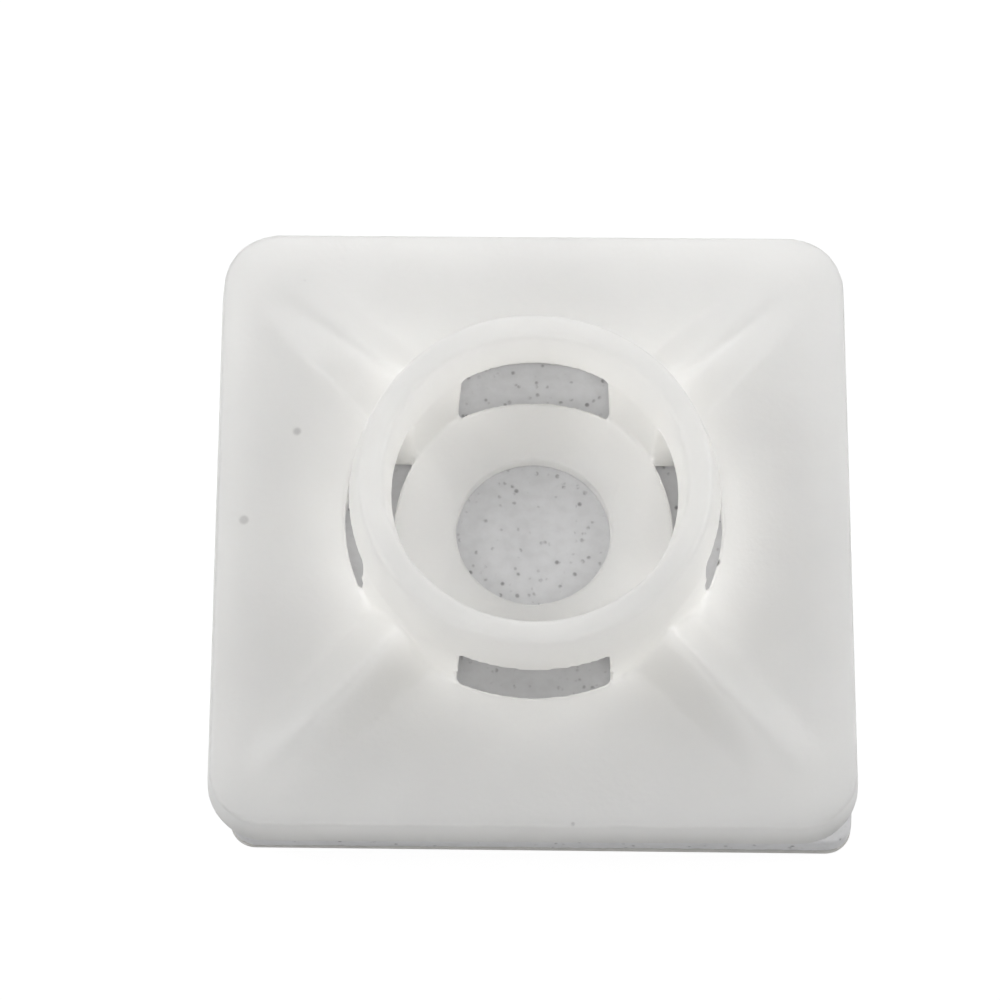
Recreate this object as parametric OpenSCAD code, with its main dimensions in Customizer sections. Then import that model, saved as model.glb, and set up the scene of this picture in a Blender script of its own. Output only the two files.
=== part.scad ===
// Four-way adhesive cable tie mount.
// A square moulded base carries a round ring on four corner legs. A tie passes under
// the ring in either direction, or round one leg. The base sticks down with a foam pad,
// which keeps its release liner until it is used, or is held by a screw in the well.
// The part stands on the liner at z = 0, centred on the screw hole. Sizes are in mm.

/* [Base plate] */
// Width across the bottom edges
base_w = 20; // [18:0.5:30]
// Radius of the bottom corners
corner_r = 1.9; // [1:0.1:3]
// Height of the side faces
edge_h = 1.28; // [1.1:0.02:1.6]
// Lean of the side faces, in degrees
edge_draft = 6.2; // [1:0.2:8]
// Slope of the four panels up to the hub, in degrees
panel_slope = 5.5; // [2:0.5:8]

/* [Ring and hub] */
// Height of the ring's top above the underside of the base
ring_top_h = 5.22; // [4.8:0.02:6.5]
// Height of the ring's band, from its underside to its top
ring_band = 1.57; // [1.2:0.01:1.9]
// Width of the ring's top
ring_lip = 0.73; // [0.5:0.01:1]
// Rounding of the ring's two top edges
ring_edge_r = 0.2; // [0.05:0.05:0.3]
// Lean of the ring's outer wall, in degrees
ring_draft = 12.5; // [8:0.5:15]
// Diameter of the well between the legs
well_d = 8.74; // [8:0.02:9.4]
// How much the ring's mouth is wider than the well, on each side
mouth_flare = 0.27; // [0.1:0.01:0.4]

/* [Tie slots] */
// Width of a slot at the ring's underside
slot_w = 4.52; // [3.6:0.02:5]
// Lean of a slot's sides, in degrees, wider towards the base
slot_draft = 2.6; // [0.5:0.1:4]
// Lean of the legs' outer wall and the windows' outer wall, in degrees
leg_draft = 3.2; // [0.5:0.1:5]
// How far the windows in the base reach out past the legs
window_reach = 0.03; // [0.02:0.01:0.3]

/* [Well floor] */
// Diameter of the screw hole
hole_d = 4.84; // [4:0.02:5.6]
// Thickness of the floor at the hole
floor_rim_t = 0.6; // [0.4:0.02:0.8]
// Rise of the floor from the hole to the legs
floor_dish = 0.4; // [0.2:0.05:0.5]
// Radius of the troughs that guide a tie through the slots
trough_r = 8.5; // [6:0.5:12]

/* [Ribs] */
// Width of a rib where it meets the panels
rib_w = 2.76; // [2:0.02:3.2]
// Height of a rib's crest at the hub, above the underside of the base
rib_top_h = 3; // [2.5:0.1:3.5]
// Roundness of a rib's crest, from sharp to a full dome
rib_round = 0.2; // [0.05:0.05:1]
// Distance from a rib's tip to the corner's edge
rib_corner_gap = 1.3; // [0.8:0.1:2.5]

/* [Adhesive pad] */
// Thickness of the foam
foam_t = 0.8; // [0.5:0.1:1.6]
// Thickness of the release liner
liner_t = 0.12; // [0.06:0.02:0.2]
// Distance from the pad's edges to the base's edges, if the pad were centred
pad_inset = 0.45; // [0.45:0.05:1.5]
// Radius of the pad's corners
pad_corner_r = 0.8; // [0.3:0.1:2]
// How far the pad was stuck off centre along X
pad_shift_x = 0.3; // [-0.3:0.05:0.3]
// How far the pad was stuck off centre along Y
pad_shift_y = -0.4; // [-0.4:0.05:0.4]
// How far the pad was turned, in degrees
pad_turn = -0.3; // [-0.3:0.1:0.3]

/* [Hidden] */
$fn = 96;
// Segments in a rounded edge of a turned profile
EDGE_STEPS = 6;
// Lengths that a rib is made in, and steps across it, closest together at the crest
RIB_LENGTHS = 12;
RIB_STEPS = 12;
// How deep a rib's edges are sunk into the panels
RIB_SINK = 0.05;
// How far cutters run past what they cut
CUT = 1;
base_z = liner_t + foam_t;
edge_in = edge_h * tan(edge_draft);
top_half = base_w / 2 - edge_in;
corner_at = base_w / 2 - corner_r;
pad_w = base_w - 2 * pad_inset;
ring_bottom_h = ring_top_h - ring_band;
well_r = well_d / 2;
mouth_r = well_r + mouth_flare;
mouth_lean = atan(mouth_flare / ring_band);
hole_r = hole_d / 2;
floor_leg_t = floor_rim_t + floor_dish;
// A rib starts in the middle of the hub's wall, and its crest meets the plate near the corner.
wall_mid_r = (well_r + hub_r(ring_bottom_h)) / 2;
rib_tip = corner_at * sqrt(2) + corner_r - edge_in - rib_corner_gap;
rib_fall = (rib_top_h - panel_h(rib_tip / sqrt(2))) / (rib_tip - hub_r(rib_top_h));

// Radius of the hub's outer wall at height z: the ring's cone, and the steeper legs under it
function hub_r(z) =
    mouth_r + ring_lip + min(ring_top_h - z, ring_band) * tan(ring_draft)
    + max(ring_bottom_h - z, 0) * tan(leg_draft);

// Height of the panels at a distance from the centre, along X or Y
function panel_h(at) = edge_h + (top_half - at) * tan(panel_slope);

// Points along an arc
function arc(cx, cy, r, from, to) =
    [for (i = [0 : EDGE_STEPS]) let (a = from + (to - from) * i / EDGE_STEPS) [cx + r * cos(a), cy + r * sin(a)]];

// Square with rounded corners, centred
module rounded_square(w, r) {
    square([w, w - 2 * r], center = true);
    square([w - 2 * r, w], center = true);
    for (x = [-1, 1], y = [-1, 1]) {
        translate([x * (w / 2 - r), y * (w / 2 - r)]) circle(r);
    }
}

// Plate section along one axis: side faces with draft, and a low ridge
module plate_prism() {
    rotate([90, 0, 0]) linear_extrude(height = base_w + 2 * CUT, center = true) polygon([
        [-base_w / 2, 0],
        [base_w / 2, 0],
        [top_half, edge_h],
        [0, panel_h(0)],
        [-top_half, edge_h]
    ]);
}

// What is cut off a corner, outside a cone with the draft of the side faces
module corner_waste() {
    cone_h = panel_h(0) + CUT;
    translate([corner_at, corner_at, 0]) difference() {
        translate([0, 0, -CUT]) cube([corner_r + CUT, corner_r + CUT, cone_h]);
        translate([0, 0, -CUT]) cylinder(
            h = cone_h + CUT,
            r1 = corner_r + CUT * tan(edge_draft),
            r2 = corner_r - cone_h * tan(edge_draft)
        );
    }
}

// Square plate with four sloped panels and rounded corners
module plate() {
    difference() {
        intersection() {
            plate_prism();
            rotate([0, 0, 90]) plate_prism();
        }
        for (a = [0 : 90 : 270]) {
            rotate([0, 0, a]) corner_waste();
        }
    }
}

// Outside of the hub: steep legs, and the ring's cone with a rounded top edge
module hub_blank() {
    lean_in = ring_edge_r / cos(ring_draft) - ring_edge_r * tan(ring_draft);
    rotate_extrude() polygon(concat(
        [[0, 0], [hub_r(0), 0], [hub_r(ring_bottom_h), ring_bottom_h]],
        arc(hub_r(ring_top_h) - lean_in, ring_top_h - ring_edge_r, ring_edge_r, ring_draft, 90),
        [[0, ring_top_h]]
    ));
}

// Inside of the hub: dished floor, straight well and flared mouth with a rounded edge
module well() {
    lean_out = ring_edge_r / cos(mouth_lean) - ring_edge_r * tan(mouth_lean);
    rotate_extrude() polygon(concat(
        [[0, floor_rim_t], [hole_r, floor_rim_t], [well_r, floor_leg_t], [well_r, ring_bottom_h]],
        arc(mouth_r + lean_out, ring_top_h - ring_edge_r, ring_edge_r, 180 - mouth_lean, 90),
        [[mouth_r + lean_out, ring_top_h + CUT], [0, ring_top_h + CUT]]
    ));
}

// Space of one pair of tie slots along Y, from below the base to the ring's underside
module slot_prism() {
    spread = tan(slot_draft);
    low = slot_w / 2 + (ring_bottom_h + CUT) * spread;
    rotate([90, 0, 0]) linear_extrude(height = 2 * base_w, center = true) polygon([
        [-low, -CUT],
        [low, -CUT],
        [slot_w / 2, ring_bottom_h],
        [-slot_w / 2, ring_bottom_h]
    ]);
}

module slots() {
    slot_prism();
    rotate([0, 0, 90]) slot_prism();
}

// Windows through the base under the ring
module windows() {
    intersection() {
        slots();
        difference() {
            translate([0, 0, -CUT]) cylinder(
                h = ring_bottom_h + CUT,
                r1 = hub_r(-CUT) + window_reach,
                r2 = hub_r(ring_bottom_h) + window_reach
            );
            translate([0, 0, -2 * CUT]) cylinder(h = ring_bottom_h + 3 * CUT, r = well_r);
        }
    }
}

// Shallow troughs across the floor, in line with the slots
module troughs() {
    intersection() {
        slots();
        translate([0, 0, floor_rim_t - CUT]) cylinder(h = ring_bottom_h, r = wall_mid_r);
        for (a = [0, 90]) {
            rotate([0, 0, a]) translate([0, 0, floor_rim_t + trough_r]) rotate([90, 0, 0])
                cylinder(h = base_w, r = trough_r, center = true);
        }
    }
}

// Height of a rib's crest at a distance from the centre
function crest_h(at) = rib_top_h - (at - hub_r(rib_top_h)) * rib_fall;

// Shape across a rib: 1 at the crest, 0 at the edges (u = -1 and 1), and below 0 outside them
function roof(u) = (norm([1, rib_round]) - norm([u, rib_round])) / (norm([1, rib_round]) - rib_round);

// Points of a rib's section at a distance from the centre, with its sunk bottom corners
function rib_section(at) =
    let (half = rib_w / 2, edge = panel_h((at + half) / sqrt(2)) - RIB_SINK, over = 1 + RIB_SINK)
    concat(
        [[at, -half * over, edge_h / 2]],
        [for (i = [0 : RIB_STEPS]) let (t = 2 * i / RIB_STEPS - 1, u = over * t * abs(t))
            [at, half * u, edge + (crest_h(at) - edge) * roof(u)]],
        [[at, half * over, edge_h / 2]]
    );

// Rib along the diagonal of one corner, falling from the hub and dying into the plate
module rib() {
    count = RIB_STEPS + 3;
    last = RIB_LENGTHS * count;
    step = (rib_tip - wall_mid_r) / RIB_LENGTHS;
    points = [for (k = [0 : RIB_LENGTHS]) each rib_section(wall_mid_r + step * k)];
    skin = [for (k = [0 : RIB_LENGTHS - 1], i = [0 : count - 1])
        let (a = k * count + i, b = k * count + (i + 1) % count)
        each [[a, b, b + count], [a, b + count, a + count]]];
    ends = [[for (i = [count - 1 : -1 : 0]) i], [for (i = [0 : count - 1]) last + i]];
    rotate([0, 0, 45]) polyhedron(points, concat(skin, ends));
}

// Hub and ribs, open under the ring
module superstructure() {
    difference() {
        union() {
            hub_blank();
            for (a = [0 : 90 : 270]) {
                rotate([0, 0, a]) rib();
            }
        }
        slots();
    }
}

module mount_body() {
    color([0.87, 0.87, 0.85]) translate([0, 0, base_z]) difference() {
        union() {
            plate();
            superstructure();
        }
        well();
        windows();
        troughs();
        translate([0, 0, -CUT]) cylinder(h = ring_top_h, r = hole_r);
    }
}

// The pad and its liner are cut together, and were stuck on a little askew.
module pad_layer(bottom, thickness) {
    translate([pad_shift_x, pad_shift_y, bottom]) rotate([0, 0, pad_turn])
        linear_extrude(height = thickness) rounded_square(pad_w, pad_corner_r);
}

module foam_pad() {
    color([0.80, 0.80, 0.83]) pad_layer(liner_t, foam_t);
}

module release_liner() {
    color([0.95, 0.95, 0.93]) pad_layer(0, liner_t);
}

mount_body();
foam_pad();
release_liner();
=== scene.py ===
import math

import bpy
from mathutils import Matrix, Vector


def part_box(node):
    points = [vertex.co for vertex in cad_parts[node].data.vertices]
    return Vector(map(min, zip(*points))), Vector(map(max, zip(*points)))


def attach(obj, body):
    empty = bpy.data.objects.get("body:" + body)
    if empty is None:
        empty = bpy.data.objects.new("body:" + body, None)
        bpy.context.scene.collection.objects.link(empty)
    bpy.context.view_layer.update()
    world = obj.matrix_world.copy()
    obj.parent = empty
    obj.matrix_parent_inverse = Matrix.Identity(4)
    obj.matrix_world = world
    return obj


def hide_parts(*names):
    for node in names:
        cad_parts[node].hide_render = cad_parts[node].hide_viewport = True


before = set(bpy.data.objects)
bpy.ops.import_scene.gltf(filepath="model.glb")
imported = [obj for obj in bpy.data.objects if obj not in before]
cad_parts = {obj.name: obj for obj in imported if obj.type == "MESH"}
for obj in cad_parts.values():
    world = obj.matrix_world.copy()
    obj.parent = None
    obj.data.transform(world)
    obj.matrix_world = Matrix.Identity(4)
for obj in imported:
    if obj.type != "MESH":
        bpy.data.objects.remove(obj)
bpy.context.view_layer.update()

bl_info = {
    "name": "Cable Tie Mount",
    "version": (1, 0, 0),
    "blender": (4, 5, 0),
    "location": "View3D > Sidebar > Tie Mount",
    "description": "Adds a moulded four-way cable tie mount with its foam pad, its liner and a studio stage",
    "category": "Add Mesh",
}

MM = 0.001
BASE_LOW, RING_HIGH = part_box("mount_body")
PAD_LOW, PAD_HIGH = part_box("foam_pad")
LINER_LOW, LINER_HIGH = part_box("release_liner")

# Point that every lamp faces
LAMPS_FACE = (0.0, 0.0, 3 * MM)

# Marks that the moulding has picked up: (x, y, z) in mm, radius in mm, strength
DIRT_MARKS = (
    ((5.62, -1.39, 2.55), 0.16, 0.95),
)
FAINT_MARKS = (
    ((-7.42, 2.95, 2.35), 0.17, 0.30),
    ((-9.02, 0.02, 2.25), 0.17, 0.26),
    ((-7.30, 8.10, 2.40), 0.10, 0.14),
    ((6.10, 6.55, 2.40), 0.11, 0.22),
    ((-2.98, 0.55, 1.70), 0.12, 0.20),
    ((7.35, -2.72, 2.35), 0.09, 0.22),
    ((1.20, -9.75, 2.15), 0.09, 0.25),
)


class MouldingSettings(bpy.types.PropertyGroup):
    """How the moulding is rebuilt with soft edges."""

    cell: bpy.props.FloatProperty(
        name="Cell", description="Size of the cells that the moulding is rebuilt in",
        default=0.08 * MM, min=0.05 * MM, max=0.3 * MM, precision=5, unit="LENGTH")
    soften_passes: bpy.props.IntProperty(
        name="Soften passes", description="Passes that round every edge a little",
        default=2, min=0, max=40)
    foot_passes: bpy.props.IntProperty(
        name="Foot passes", description="Further passes where ribs and legs run into the panels",
        default=40, min=0, max=120)
    most_triangles: bpy.props.IntProperty(
        name="Most triangles", description="Triangles that the finished moulding may have",
        default=170000, min=20000, max=195000)
    nylon: bpy.props.FloatVectorProperty(
        name="Nylon", description="Colour of the milky nylon",
        default=(0.925, 0.919, 0.902), subtype="COLOR", min=0, max=1)
    dirt: bpy.props.FloatVectorProperty(
        name="Dirt", description="Colour of the specks on the nylon",
        default=(0.075, 0.070, 0.065), subtype="COLOR", min=0, max=1)


class PadSettings(bpy.types.PropertyGroup):
    """Sizes and colours of the foam pad and its liner."""

    corner: bpy.props.FloatProperty(
        name="Corner radius", description="Radius of the pad's corners",
        default=0.8 * MM, min=0.3 * MM, max=2 * MM, precision=5, unit="LENGTH")
    turn: bpy.props.FloatProperty(
        name="Turn", description="How far the pad was turned when it was stuck on",
        default=math.radians(-0.3), min=-0.02, max=0.02, subtype="ANGLE")
    cell: bpy.props.FloatProperty(
        name="Foam cell", description="Distance between the foam's open cells",
        default=0.29 * MM, min=0.1 * MM, max=1 * MM, precision=5, unit="LENGTH")
    ragged: bpy.props.FloatProperty(
        name="Ragged edge", description="Depth of the unevenness along the pad's cut edge",
        default=0.05 * MM, min=0, max=0.1 * MM, precision=5, unit="LENGTH")
    foam: bpy.props.FloatVectorProperty(
        name="Foam", description="Colour of the foam",
        default=(0.95, 0.95, 0.96), subtype="COLOR", min=0, max=1)
    # The colour inside the foam's open cells is painted shade in their hollows, not a colour of the foam
    # itself.
    cell_hollow_shade: bpy.props.FloatVectorProperty(
        name="Foam cells", description="Colour inside the foam's open cells",
        default=(0.45, 0.44, 0.45), subtype="COLOR", min=0, max=1)
    liner: bpy.props.FloatVectorProperty(
        name="Liner", description="Colour of the release liner",
        default=(0.72, 0.71, 0.68), subtype="COLOR", min=0, max=1)


class StageSettings(bpy.types.PropertyGroup):
    """Camera, lamps and floor."""

    target: bpy.props.FloatVectorProperty(
        name="Target", description="Point that the camera turns about",
        default=(-1.049 * MM, 1.278 * MM, 0.92 * MM), subtype="TRANSLATION", unit="LENGTH")
    elevation: bpy.props.FloatProperty(
        name="Elevation", description="Height of the camera above the horizon",
        default=math.radians(68.42), subtype="ANGLE")
    heading: bpy.props.FloatProperty(
        name="Heading", description="Turn of the camera about the vertical",
        default=math.radians(-0.64), subtype="ANGLE")
    roll: bpy.props.FloatProperty(
        name="Roll", description="Roll of the camera about its own axis",
        default=math.radians(0.96), subtype="ANGLE")
    distance: bpy.props.FloatProperty(
        name="Distance", description="Distance from the camera to its target",
        default=129.64 * MM, min=0.05, unit="LENGTH")
    lens: bpy.props.FloatProperty(
        name="Lens", description="Focal length of the camera",
        default=147.9, min=20, max=300)
    back: bpy.props.FloatProperty(
        name="Back lamp", description="Radiance of the low lamp close behind the mount",
        default=0.86, min=0)
    left: bpy.props.FloatProperty(
        name="Left lamp", description="Radiance of the lamp above the mount's left side",
        default=3.3, min=0)
    right: bpy.props.FloatProperty(
        name="Right lamp", description="Radiance of the lamp above the mount's right side",
        default=3.0, min=0)
    front_high: bpy.props.FloatProperty(
        name="High front lamp", description="Radiance of the large soft lamp behind the camera",
        default=2.3, min=0)
    front_low: bpy.props.FloatProperty(
        name="Low front lamp", description="Radiance of the large soft lamp low in front",
        default=1.6, min=0)
    ambient: bpy.props.FloatProperty(
        name="Ambient", description="Strength of the light from all round",
        default=0.09, min=0)
    floor: bpy.props.FloatVectorProperty(
        name="Floor", description="Colour of the floor",
        default=(0.86, 0.86, 0.86), subtype="COLOR", min=0, max=1)


# ---- working with meshes ----

def start_clean():
    """Leaves edit mode and selects nothing."""
    if bpy.context.object and bpy.context.object.mode != "OBJECT":
        bpy.ops.object.mode_set(mode="OBJECT")
    bpy.ops.object.select_all(action="DESELECT")


def make_active(piece):
    start_clean()
    piece.select_set(True)
    bpy.context.view_layer.objects.active = piece


def select_where(piece, kind, test):
    """Selects, in edit mode, just the verts, edges or faces for which test is true."""
    make_active(piece)
    bpy.ops.object.mode_set(mode="EDIT")
    bpy.ops.mesh.select_mode(type={"verts": "VERT", "edges": "EDGE", "faces": "FACE"}[kind])
    bpy.ops.mesh.select_all(action="DESELECT")
    bpy.ops.object.mode_set(mode="OBJECT")
    mesh = piece.data
    chosen = {"verts": mesh.vertices, "edges": mesh.edges, "faces": mesh.polygons}[kind]
    found = 0
    for item in chosen:
        item.select = bool(test(mesh, item))
        found += item.select
    bpy.ops.object.mode_set(mode="EDIT")
    return found


def apply_modifier(piece, kind, **values):
    """Adds a modifier, sets its values and applies it."""
    make_active(piece)
    bpy.ops.object.modifier_add(type=kind)
    modifier = piece.modifiers[-1]
    for name, value in values.items():
        setattr(modifier, name, value)
    bpy.ops.object.modifier_apply(modifier=modifier.name)


def set_place(piece):
    """Puts the piece's place, turn and size into its mesh."""
    make_active(piece)
    bpy.ops.object.transform_apply(location=True, rotation=True, scale=True)


def finish_piece(piece, material, node):
    """Gives a piece its material and its place in the frame."""
    piece.data.materials.clear()
    piece.data.materials.append(material)
    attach(piece, "root")
    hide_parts(node)


def merged_copy(node, name):
    """A new object with the node's mesh, its loose triangles merged."""
    piece = bpy.data.objects.new(name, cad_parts[node].data.copy())
    piece.data.name = name
    bpy.context.scene.collection.objects.link(piece)
    make_active(piece)
    bpy.ops.object.mode_set(mode="EDIT")
    bpy.ops.mesh.select_all(action="SELECT")
    bpy.ops.mesh.remove_doubles(threshold=0.001 * MM)
    bpy.ops.object.mode_set(mode="OBJECT")
    return piece


# ---- node groups ----

def new_group(name, inputs, outputs):
    """A shader node group with the sockets that inputs and outputs name."""
    group = bpy.data.node_groups.new(name, "ShaderNodeTree")
    for label, kind, value in inputs:
        socket = group.interface.new_socket(label, in_out="INPUT", socket_type=kind)
        if value is not None:
            socket.default_value = value
    for label, kind in outputs:
        group.interface.new_socket(label, in_out="OUTPUT", socket_type=kind)
    return group, group.nodes.new("NodeGroupInput"), group.nodes.new("NodeGroupOutput")


def maths(tree, operation, first, second=None, clamp=False):
    """A Math node fed by sockets or numbers."""
    node = tree.nodes.new("ShaderNodeMath")
    node.operation = operation
    node.use_clamp = clamp
    for socket, value in zip(node.inputs, (first, second)):
        if value is None:
            continue
        if isinstance(value, (int, float)):
            socket.default_value = value
        else:
            tree.links.new(value, socket)
    return node.outputs[0]


def ramp(tree, value, low, high, out_low=0.0, out_high=1.0):
    """A smooth step of value from low to high."""
    node = tree.nodes.new("ShaderNodeMapRange")
    node.interpolation_type = "SMOOTHSTEP"
    tree.links.new(value, node.inputs["Value"])
    for name, number in (("From Min", low), ("From Max", high), ("To Min", out_low), ("To Max", out_high)):
        if isinstance(number, (int, float)):
            node.inputs[name].default_value = number
        else:
            tree.links.new(number, node.inputs[name])
    return node.outputs["Result"]


def mottle_group():
    """Soft variation of a surface: a mask from 0 to 1 with a mean near a half."""
    name = "mottle"
    if name in bpy.data.node_groups:
        return bpy.data.node_groups[name]
    group, entry, leave = new_group(
        name,
        [("Vector", "NodeSocketVector", None), ("Scale", "NodeSocketFloat", 500.0),
         ("Detail", "NodeSocketFloat", 3.0)],
        [("Mask", "NodeSocketFloat")])
    noise = group.nodes.new("ShaderNodeTexNoise")
    group.links.new(entry.outputs["Vector"], noise.inputs["Vector"])
    group.links.new(entry.outputs["Scale"], noise.inputs["Scale"])
    group.links.new(entry.outputs["Detail"], noise.inputs["Detail"])
    group.links.new(ramp(group, noise.outputs["Fac"], 0.25, 0.75), leave.inputs["Mask"])
    return group


def mark_group():
    """A round mark with a soft edge: 1 at its centre and 0 outside it."""
    name = "round_mark"
    if name in bpy.data.node_groups:
        return bpy.data.node_groups[name]
    group, entry, leave = new_group(
        name,
        [("Vector", "NodeSocketVector", None), ("Centre", "NodeSocketVector", (0.0, 0.0, 0.0)),
         ("Radius", "NodeSocketFloat", 0.15 * MM), ("Strength", "NodeSocketFloat", 1.0)],
        [("Mask", "NodeSocketFloat")])
    away = group.nodes.new("ShaderNodeVectorMath")
    away.operation = "DISTANCE"
    group.links.new(entry.outputs["Vector"], away.inputs[0])
    group.links.new(entry.outputs["Centre"], away.inputs[1])
    share = maths(group, "DIVIDE", away.outputs["Value"], entry.outputs["Radius"])
    inside = ramp(group, share, 0.55, 1.15, 1.0, 0.0)
    group.links.new(maths(group, "MULTIPLY", inside, entry.outputs["Strength"]), leave.inputs["Mask"])
    return group


def place_group(tree, group, **inputs):
    node = tree.nodes.new("ShaderNodeGroup")
    node.node_tree = group
    for name, value in inputs.items():
        if isinstance(value, bpy.types.NodeSocket):
            tree.links.new(value, node.inputs[name])
        else:
            node.inputs[name].default_value = value
    return node.outputs[0]


def mix_colour(tree, factor, first, second):
    """A colour between first and second, each a colour or a socket."""
    node = tree.nodes.new("ShaderNodeMix")
    node.data_type = "RGBA"
    tree.links.new(factor, node.inputs["Factor"])
    for socket, value in ((node.inputs[6], first), (node.inputs[7], second)):
        if isinstance(value, bpy.types.NodeSocket):
            tree.links.new(value, socket)
        else:
            socket.default_value = (*value, 1.0)
    return node.outputs[2]


def new_material(name):
    material = bpy.data.materials.new(name)
    material.use_nodes = True
    tree = material.node_tree
    shader = tree.nodes["Principled BSDF"]
    place = tree.nodes.new("ShaderNodeTexCoord").outputs["Object"]
    return material, tree, shader, place


def add_bump(tree, shader, height, distance, strength):
    bump = tree.nodes.new("ShaderNodeBump")
    bump.inputs["Distance"].default_value = distance
    bump.inputs["Strength"].default_value = strength
    tree.links.new(height, bump.inputs["Height"])
    tree.links.new(bump.outputs["Normal"], shader.inputs["Normal"])


def tinted(colour, share):
    return tuple(min(1.0, c * share) for c in colour)


def nylon_material(settings):
    """Milky nylon that lets some light through, with a faint flow pattern and a few marks."""
    material, tree, shader, place = new_material("milky_nylon")
    flow = place_group(tree, mottle_group(), Vector=place, Scale=260.0, Detail=2.0)
    fine = place_group(tree, mottle_group(), Vector=place, Scale=5200.0, Detail=2.0)
    colour = mix_colour(tree, flow, tinted(settings.nylon, 0.985), tinted(settings.nylon, 1.015))
    for marks in (FAINT_MARKS, DIRT_MARKS):
        for centre, radius, strength in marks:
            mask = place_group(
                tree, mark_group(), Vector=place, Centre=tuple(c * MM for c in centre),
                Radius=radius * MM, Strength=strength)
            colour = mix_colour(tree, mask, colour, settings.dirt)
    tree.links.new(colour, shader.inputs["Base Color"])
    tree.links.new(ramp(tree, flow, 0.0, 1.0, 0.34, 0.41), shader.inputs["Roughness"])
    shader.subsurface_method = "BURLEY"
    shader.inputs["IOR"].default_value = 1.53
    shader.inputs["Subsurface Weight"].default_value = 1.0
    shader.inputs["Subsurface Radius"].default_value = (1.0, 0.98, 0.94)
    shader.inputs["Subsurface Scale"].default_value = 4.0 * MM
    add_bump(tree, shader, fine, 0.006 * MM, 0.35)
    return material


def foam_material(settings):
    """Pale foam with small open cells, whose hollows are darkened with painted shade."""
    material, tree, shader, place = new_material("open_cell_foam")
    cells = tree.nodes.new("ShaderNodeTexVoronoi")
    cells.inputs["Scale"].default_value = 1.0 / settings.cell
    cells.inputs["Randomness"].default_value = 1.0
    tree.links.new(place, cells.inputs["Vector"])
    blotch = place_group(tree, mottle_group(), Vector=place, Scale=2300.0, Detail=3.0)
    depth = ramp(tree, cells.outputs["Distance"], 0.10, 0.34, 1.0, 0.0)
    # The cells' pits darken their hollows with painted shade, and they also sink the hollows in the bump
    # below.
    pit_depth_and_shade = maths(tree, "MULTIPLY", depth, ramp(tree, blotch, 0.35, 0.95))
    base = mix_colour(tree, blotch, tinted(settings.foam, 1.04), tinted(settings.foam, 0.95))
    tree.links.new(mix_colour(tree, pit_depth_and_shade, base, settings.cell_hollow_shade), shader.inputs["Base Color"])
    shader.inputs["Roughness"].default_value = 0.85
    height = maths(tree, "SUBTRACT", maths(tree, "MULTIPLY", blotch, 0.6), pit_depth_and_shade)
    add_bump(tree, shader, height, 0.03 * MM, 0.7)
    return material


def liner_material(settings):
    """Smooth coated paper with a faint fibre pattern."""
    material, tree, shader, place = new_material("coated_paper")
    fibre = place_group(tree, mottle_group(), Vector=place, Scale=1800.0, Detail=4.0)
    tree.links.new(
        mix_colour(tree, fibre, tinted(settings.liner, 0.96), tinted(settings.liner, 1.03)),
        shader.inputs["Base Color"])
    shader.inputs["Roughness"].default_value = 0.42
    add_bump(tree, shader, fibre, 0.005 * MM, 0.4)
    return material


# ---- pieces ----

class TIEMOUNT_OT_moulding(bpy.types.Operator):
    """Add the nylon moulding, with every edge and foot softened as a mould leaves it"""

    bl_idname = "tie_mount.add_moulding"
    bl_label = "Add moulding"

    def execute(self, context):
        settings = context.scene.tie_mount_moulding
        piece = merged_copy("mount_body", "moulding")
        apply_modifier(piece, "REMESH", mode="VOXEL", voxel_size=settings.cell, adaptivity=0.0)
        apply_modifier(piece, "SMOOTH", factor=0.5, iterations=settings.soften_passes)
        self.soften_feet(piece, settings.foot_passes)
        triangles = 2 * len(piece.data.polygons)
        if triangles > settings.most_triangles:
            apply_modifier(piece, "DECIMATE", ratio=settings.most_triangles / triangles)
        make_active(piece)
        bpy.ops.object.shade_smooth()
        finish_piece(piece, nylon_material(settings), "mount_body")
        return {"FINISHED"}

    def soften_feet(self, piece, passes):
        """Rounds just the band where ribs and legs run into the panels."""
        feet = piece.vertex_groups.new(name="feet")
        low, high = BASE_LOW.z + 1.30 * MM, BASE_LOW.z + 2.90 * MM
        edge = RING_HIGH.x - 1.1 * MM
        slot = 2.75 * MM
        chosen = [
            v.index for v in piece.data.vertices
            if low < v.co.z < high and math.hypot(v.co.x, v.co.y) > 5.5 * MM
            and max(abs(v.co.x), abs(v.co.y)) < edge and min(abs(v.co.x), abs(v.co.y)) > slot
        ]
        if not chosen:
            raise RuntimeError("the moulding has no feet to soften")
        feet.add(chosen, 1.0, "REPLACE")
        apply_modifier(piece, "SMOOTH", factor=0.5, iterations=passes, vertex_group="feet")
        piece.vertex_groups.clear()


def add_slab(name, low, high, turn, corner, steps):
    """A slab with rounded upright corners that fills the box from low to high once it is turned."""
    middle = (low + high) / 2
    spread = abs(math.cos(turn)) + abs(math.sin(turn))
    trim = 2 * corner * (spread - 1)
    width = (high.x - low.x + trim) / spread
    start_clean()
    bpy.ops.mesh.primitive_cube_add(size=1, location=middle)
    piece = bpy.context.object
    piece.name = piece.data.name = name
    piece.scale = (width, width, high.z - low.z)
    set_place(piece)

    def upright(mesh, edge):
        a, b = (mesh.vertices[i].co for i in edge.vertices)
        return abs(a.z - b.z) > 0.5 * (high.z - low.z)

    if select_where(piece, "edges", upright) != 4:
        raise RuntimeError("the slab should have four upright edges")
    bpy.ops.mesh.bevel(offset=corner, offset_type="OFFSET", segments=steps, affect="EDGES")
    bpy.ops.mesh.select_all(action="SELECT")
    bpy.ops.transform.rotate(value=-turn, orient_axis="Z", center_override=middle)
    bpy.ops.object.mode_set(mode="OBJECT")
    return piece


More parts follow.
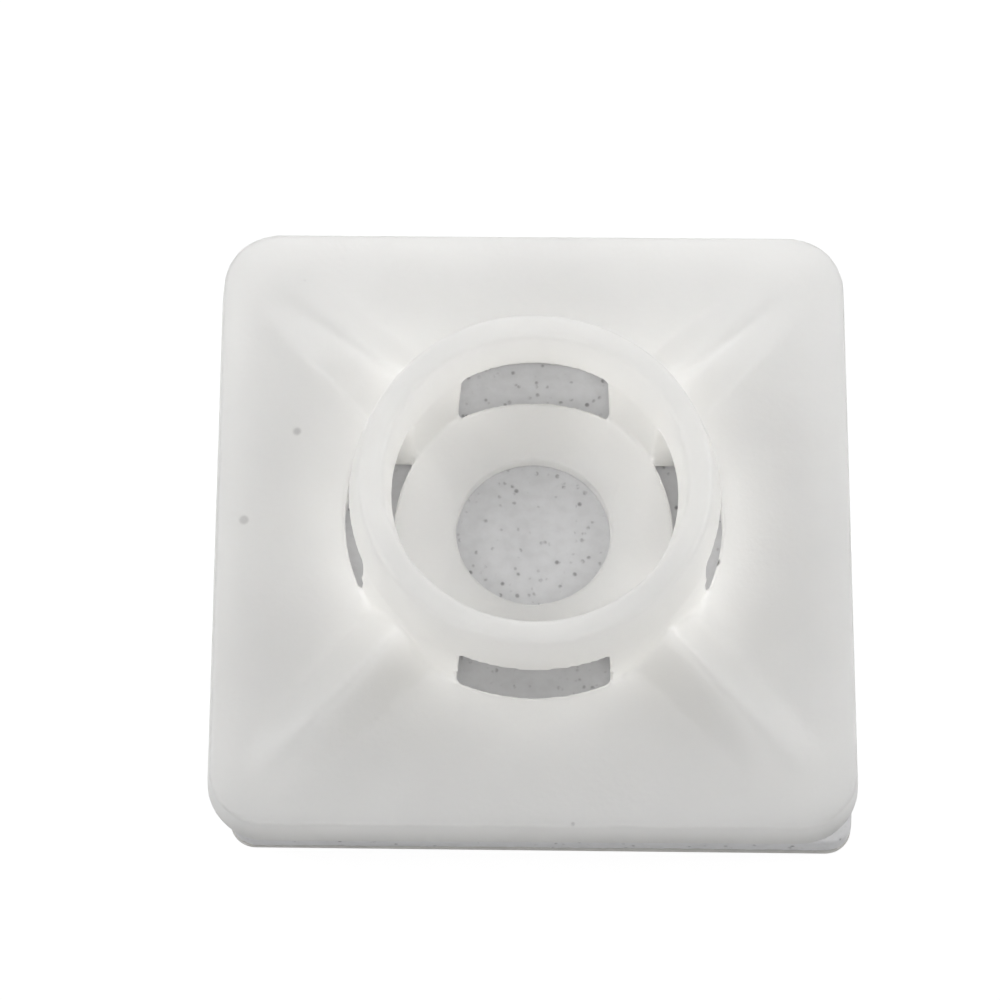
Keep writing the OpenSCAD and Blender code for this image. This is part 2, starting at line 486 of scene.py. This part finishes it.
class TIEMOUNT_OT_foam(bpy.types.Operator):
    """Add the foam pad, with its slightly ragged cut edge"""

    bl_idname = "tie_mount.add_foam"
    bl_label = "Add foam pad"

    def execute(self, context):
        settings = context.scene.tie_mount_pad
        piece = add_slab("foam_tape", PAD_LOW, PAD_HIGH, settings.turn, settings.corner, 10)
        apply_modifier(piece, "REMESH", mode="VOXEL", voxel_size=0.13 * MM, adaptivity=0.0)
        texture = bpy.data.textures.new("torn_foam", "CLOUDS")
        texture.noise_scale = 0.35 * MM
        texture.noise_depth = 2
        apply_modifier(
            piece, "DISPLACE", texture=texture, texture_coords="LOCAL", mid_level=1.0,
            strength=settings.ragged)
        make_active(piece)
        bpy.ops.object.shade_smooth()
        finish_piece(piece, foam_material(settings), "foam_pad")
        return {"FINISHED"}


class TIEMOUNT_OT_liner(bpy.types.Operator):
    """Add the release liner under the foam"""

    bl_idname = "tie_mount.add_liner"
    bl_label = "Add release liner"

    def execute(self, context):
        settings = context.scene.tie_mount_pad
        piece = add_slab("liner_sheet", LINER_LOW, LINER_HIGH, settings.turn, settings.corner, 10)
        apply_modifier(
            piece, "BEVEL", width=0.02 * MM, segments=2, limit_method="ANGLE",
            angle_limit=math.radians(60))
        make_active(piece)
        bpy.ops.object.shade_smooth_by_angle(angle=math.radians(35))
        finish_piece(piece, liner_material(settings), "release_liner")
        return {"FINISHED"}


# ---- stage ----

def seen_directly(tree):
    """1 where the camera, a reflection or a transmission sees the surface."""
    path = tree.nodes.new("ShaderNodeLightPath")
    direct = maths(tree, "MAXIMUM", path.outputs["Is Camera Ray"], path.outputs["Is Glossy Ray"])
    return maths(tree, "MAXIMUM", direct, path.outputs["Is Transmission Ray"])


def floor_material(colour):
    """A floor that looks white, keeps a soft shadow and lights the object like a plain one."""
    material = bpy.data.materials.new("studio_floor")
    material.use_nodes = True
    tree = material.node_tree
    tree.nodes.clear()
    plain = tree.nodes.new("ShaderNodeBsdfDiffuse")
    plain.inputs["Color"].default_value = (*colour, 1.0)
    veil = tree.nodes.new("ShaderNodeBsdfDiffuse")
    veil.inputs["Color"].default_value = (0.22, 0.22, 0.22, 1.0)
    glow = tree.nodes.new("ShaderNodeEmission")
    glow.inputs["Strength"].default_value = 0.9
    white = tree.nodes.new("ShaderNodeAddShader")
    tree.links.new(veil.outputs[0], white.inputs[0])
    tree.links.new(glow.outputs[0], white.inputs[1])
    mix = tree.nodes.new("ShaderNodeMixShader")
    tree.links.new(seen_directly(tree), mix.inputs[0])
    tree.links.new(plain.outputs[0], mix.inputs[1])
    tree.links.new(white.outputs[0], mix.inputs[2])
    tree.links.new(mix.outputs[0], tree.nodes.new("ShaderNodeOutputMaterial").inputs[0])
    return material


def set_world(strength):
    world = bpy.data.worlds.new("studio_surround")
    bpy.context.scene.world = world
    world.use_nodes = True
    tree = world.node_tree
    tree.nodes.clear()
    around = tree.nodes.new("ShaderNodeBackground")
    around.inputs["Strength"].default_value = strength
    around.inputs["Color"].default_value = (1.0, 1.0, 1.0, 1.0)
    white = tree.nodes.new("ShaderNodeBackground")
    white.inputs["Strength"].default_value = 1.0
    white.inputs["Color"].default_value = (1.0, 1.0, 1.0, 1.0)
    mix = tree.nodes.new("ShaderNodeMixShader")
    tree.links.new(seen_directly(tree), mix.inputs[0])
    tree.links.new(around.outputs[0], mix.inputs[1])
    tree.links.new(white.outputs[0], mix.inputs[2])
    tree.links.new(mix.outputs[0], tree.nodes.new("ShaderNodeOutputWorld").inputs[0])


def add_lamp(name, place, size, radiance):
    """A square soft lamp that faces the mount. Its power follows from its radiance and size."""
    start_clean()
    place = Vector(place)
    bpy.ops.object.light_add(type="AREA", location=place)
    lamp = bpy.context.object
    lamp.name = lamp.data.name = name
    lamp.rotation_euler = (place - Vector(LAMPS_FACE)).to_track_quat("Z", "Y").to_euler()
    lamp.visible_camera = False
    lamp.data.shape = "SQUARE"
    lamp.data.size = size
    lamp.data.energy = radiance * math.pi * size ** 2
    return lamp


class TIEMOUNT_OT_stage(bpy.types.Operator):
    """Set up the floor, the lamps, the surround and the camera"""

    bl_idname = "tie_mount.set_stage"
    bl_label = "Set stage"

    def execute(self, context):
        settings = context.scene.tie_mount_stage
        self.add_floor(settings)
        set_world(settings.ambient)
        add_lamp("lamp_back", (0.0, 36 * MM, 20 * MM), 40 * MM, settings.back)
        add_lamp("lamp_left", (-60 * MM, 10 * MM, 50 * MM), 40 * MM, settings.left)
        add_lamp("lamp_right", (60 * MM, 14 * MM, 38 * MM), 40 * MM, settings.right)
        add_lamp("lamp_front_high", (-3 * MM, -90 * MM, 230 * MM), 100 * MM, settings.front_high)
        add_lamp("lamp_front_low", (0.0, -160 * MM, 160 * MM), 100 * MM, settings.front_low)
        self.add_camera(context, settings)
        context.scene.view_settings.view_transform = "Standard"
        return {"FINISHED"}

    def add_floor(self, settings):
        start_clean()
        bpy.ops.mesh.primitive_plane_add(size=3.0, location=(0.0, 0.0, 0.0))
        floor = bpy.context.object
        floor.name = floor.data.name = "floor"
        floor.data.materials.append(floor_material(settings.floor))

    def add_camera(self, context, settings):
        e, h, r = settings.elevation, settings.heading, settings.roll
        back = Vector((math.sin(h) * math.cos(e), -math.cos(h) * math.cos(e), math.sin(e)))
        level = Vector((math.cos(h), math.sin(h), 0.0))
        rise = back.cross(level)
        right = math.cos(r) * level + math.sin(r) * rise
        up = math.cos(r) * rise - math.sin(r) * level
        start_clean()
        bpy.ops.object.camera_add()
        camera = bpy.context.object
        camera.name = camera.data.name = "studio_camera"
        turn = Matrix((right, up, back)).transposed().to_4x4()
        camera.matrix_world = Matrix.Translation(Vector(settings.target) + back * settings.distance) @ turn
        camera.data.sensor_width = 36.0
        camera.data.lens = settings.lens
        camera.data.clip_start = 0.005
        camera.data.clip_end = 10.0
        context.scene.camera = camera


class TIEMOUNT_PT_sidebar(bpy.types.Panel):
    """Lists the pieces and the stage"""

    bl_idname = "TIEMOUNT_PT_sidebar"
    bl_label = "Cable Tie Mount"
    bl_space_type = "VIEW_3D"
    bl_region_type = "UI"
    bl_category = "Tie Mount"

    def draw(self, context):
        for settings, operators in PANEL_ROWS:
            box = self.layout.box()
            group = getattr(context.scene, settings)
            for name in group.bl_rna.properties.keys():
                if name not in ("rna_type", "name"):
                    box.prop(group, name)
            for operator in operators:
                box.operator(operator)


PANEL_ROWS = (
    ("tie_mount_moulding", ("tie_mount.add_moulding",)),
    ("tie_mount_pad", ("tie_mount.add_foam", "tie_mount.add_liner")),
    ("tie_mount_stage", ("tie_mount.set_stage",)),
)
SETTINGS = (
    ("tie_mount_moulding", MouldingSettings),
    ("tie_mount_pad", PadSettings),
    ("tie_mount_stage", StageSettings),
)
CLASSES = (
    MouldingSettings,
    PadSettings,
    StageSettings,
    TIEMOUNT_OT_moulding,
    TIEMOUNT_OT_foam,
    TIEMOUNT_OT_liner,
    TIEMOUNT_OT_stage,
    TIEMOUNT_PT_sidebar,
)


def register():
    for item in CLASSES:
        bpy.utils.register_class(item)
    for name, group in SETTINGS:
        setattr(bpy.types.Scene, name, bpy.props.PointerProperty(type=group))


def unregister():
    for name, group in reversed(SETTINGS):
        delattr(bpy.types.Scene, name)
    for item in reversed(CLASSES):
        bpy.utils.unregister_class(item)


def main():
    register()
    bpy.ops.tie_mount.add_moulding()
    bpy.ops.tie_mount.add_foam()
    bpy.ops.tie_mount.add_liner()
    bpy.ops.tie_mount.set_stage()


if __name__ == "__main__":
    main()
